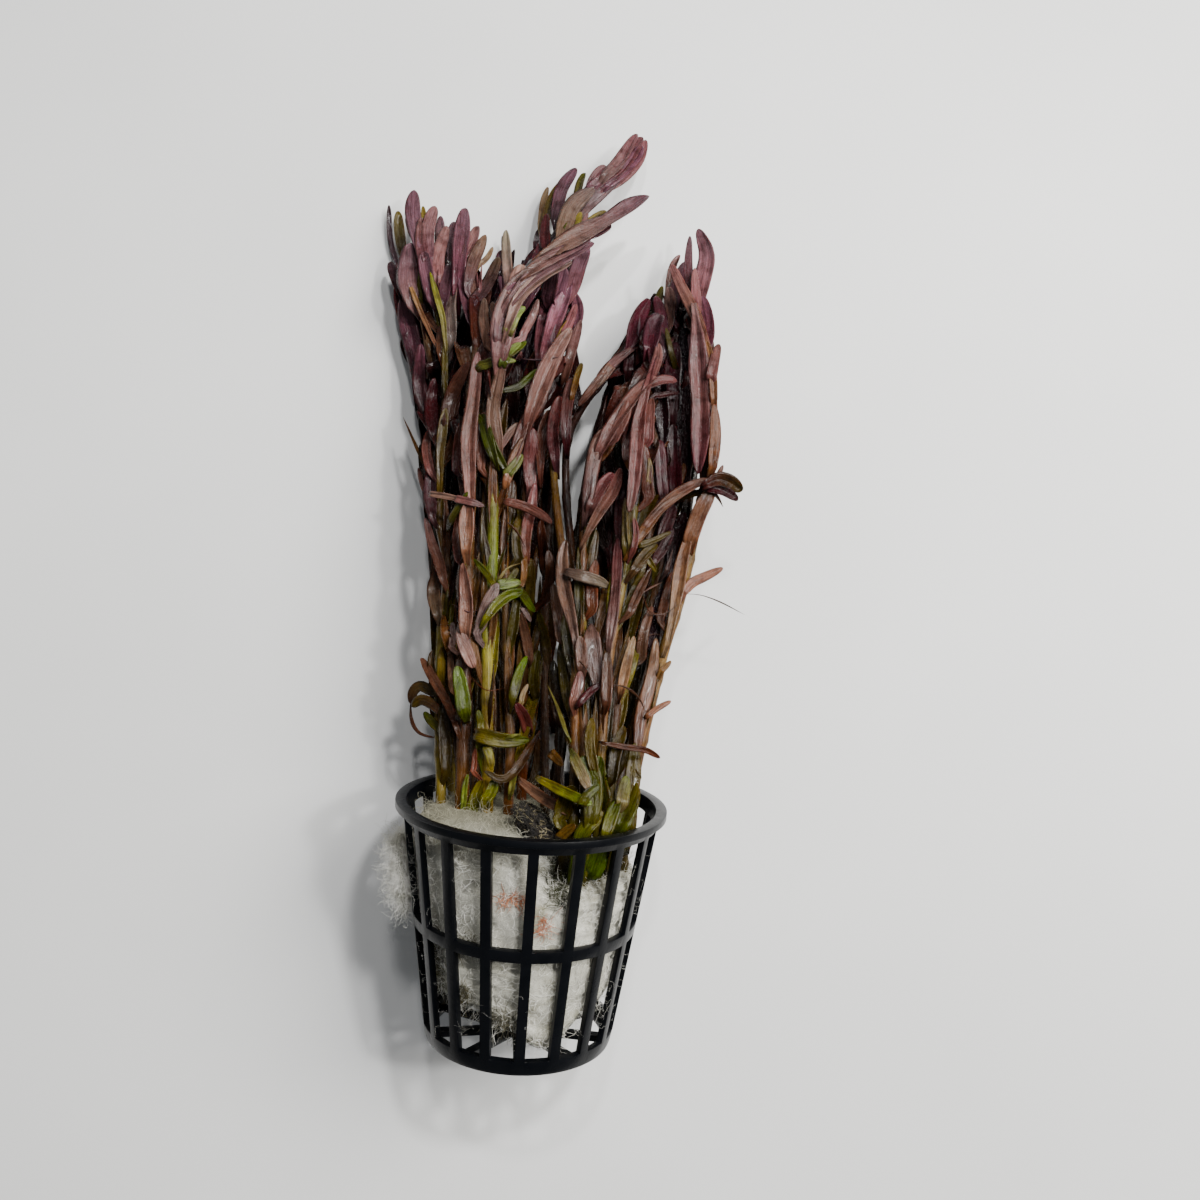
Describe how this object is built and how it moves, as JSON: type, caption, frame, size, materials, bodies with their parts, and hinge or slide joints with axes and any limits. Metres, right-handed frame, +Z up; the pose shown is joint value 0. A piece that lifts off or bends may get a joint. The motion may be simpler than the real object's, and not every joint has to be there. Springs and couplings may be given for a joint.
{
  "type": "rotala bunch in a net pot",
  "caption": "Leafy aquarium stem plant lying on its side, its foot packed in white floss inside a slotted black net pot.",
  "frame": {"origin": "the middle of the bunch's bounding box, at the level of the surface it lies on", "axes": "+Z up from the surface it lies on, +Y from the pot towards the tips of the shoots, +X to the right seen from above"},
  "size_m": [0.077, 0.1966, 0.0534],
  "materials": {
    "pot_plastic": "satin black moulded plastic",
    "floss": "loose white-grey floss, damp",
    "old_roots": "dark wiry old roots",
    "left_shoots": "wet leaves, mauve above and olive below",
    "right_shoots": "wet leaves, purple above and olive below"
  },
  "bodies": {
    "root": {"net_pot": "pot_plastic", "floss_wad": "floss", "root_clump": "old_roots", "shoot_left_01": "left_shoots", "shoot_left_02": "left_shoots", "shoot_left_03": "left_shoots", "shoot_left_04": "left_shoots", "shoot_left_05": "left_shoots", "shoot_left_06": "left_shoots", "shoot_left_07": "left_shoots", "shoot_left_08": "left_shoots", "shoot_left_09": "left_shoots", "shoot_left_10": "left_shoots", "shoot_left_11": "left_shoots", "shoot_left_12": "left_shoots", "shoot_right_01": "right_shoots", "shoot_right_02": "right_shoots", "shoot_right_03": "right_shoots", "shoot_right_04": "right_shoots", "shoot_right_05": "right_shoots", "shoot_right_06": "right_shoots", "shoot_right_07": "right_shoots", "shoot_right_08": "right_shoots", "shoot_right_09": "right_shoots", "shoot_right_10": "right_shoots", "shoot_right_11": "right_shoots", "shoot_right_12": "right_shoots"}
  },
  "joints": []
}
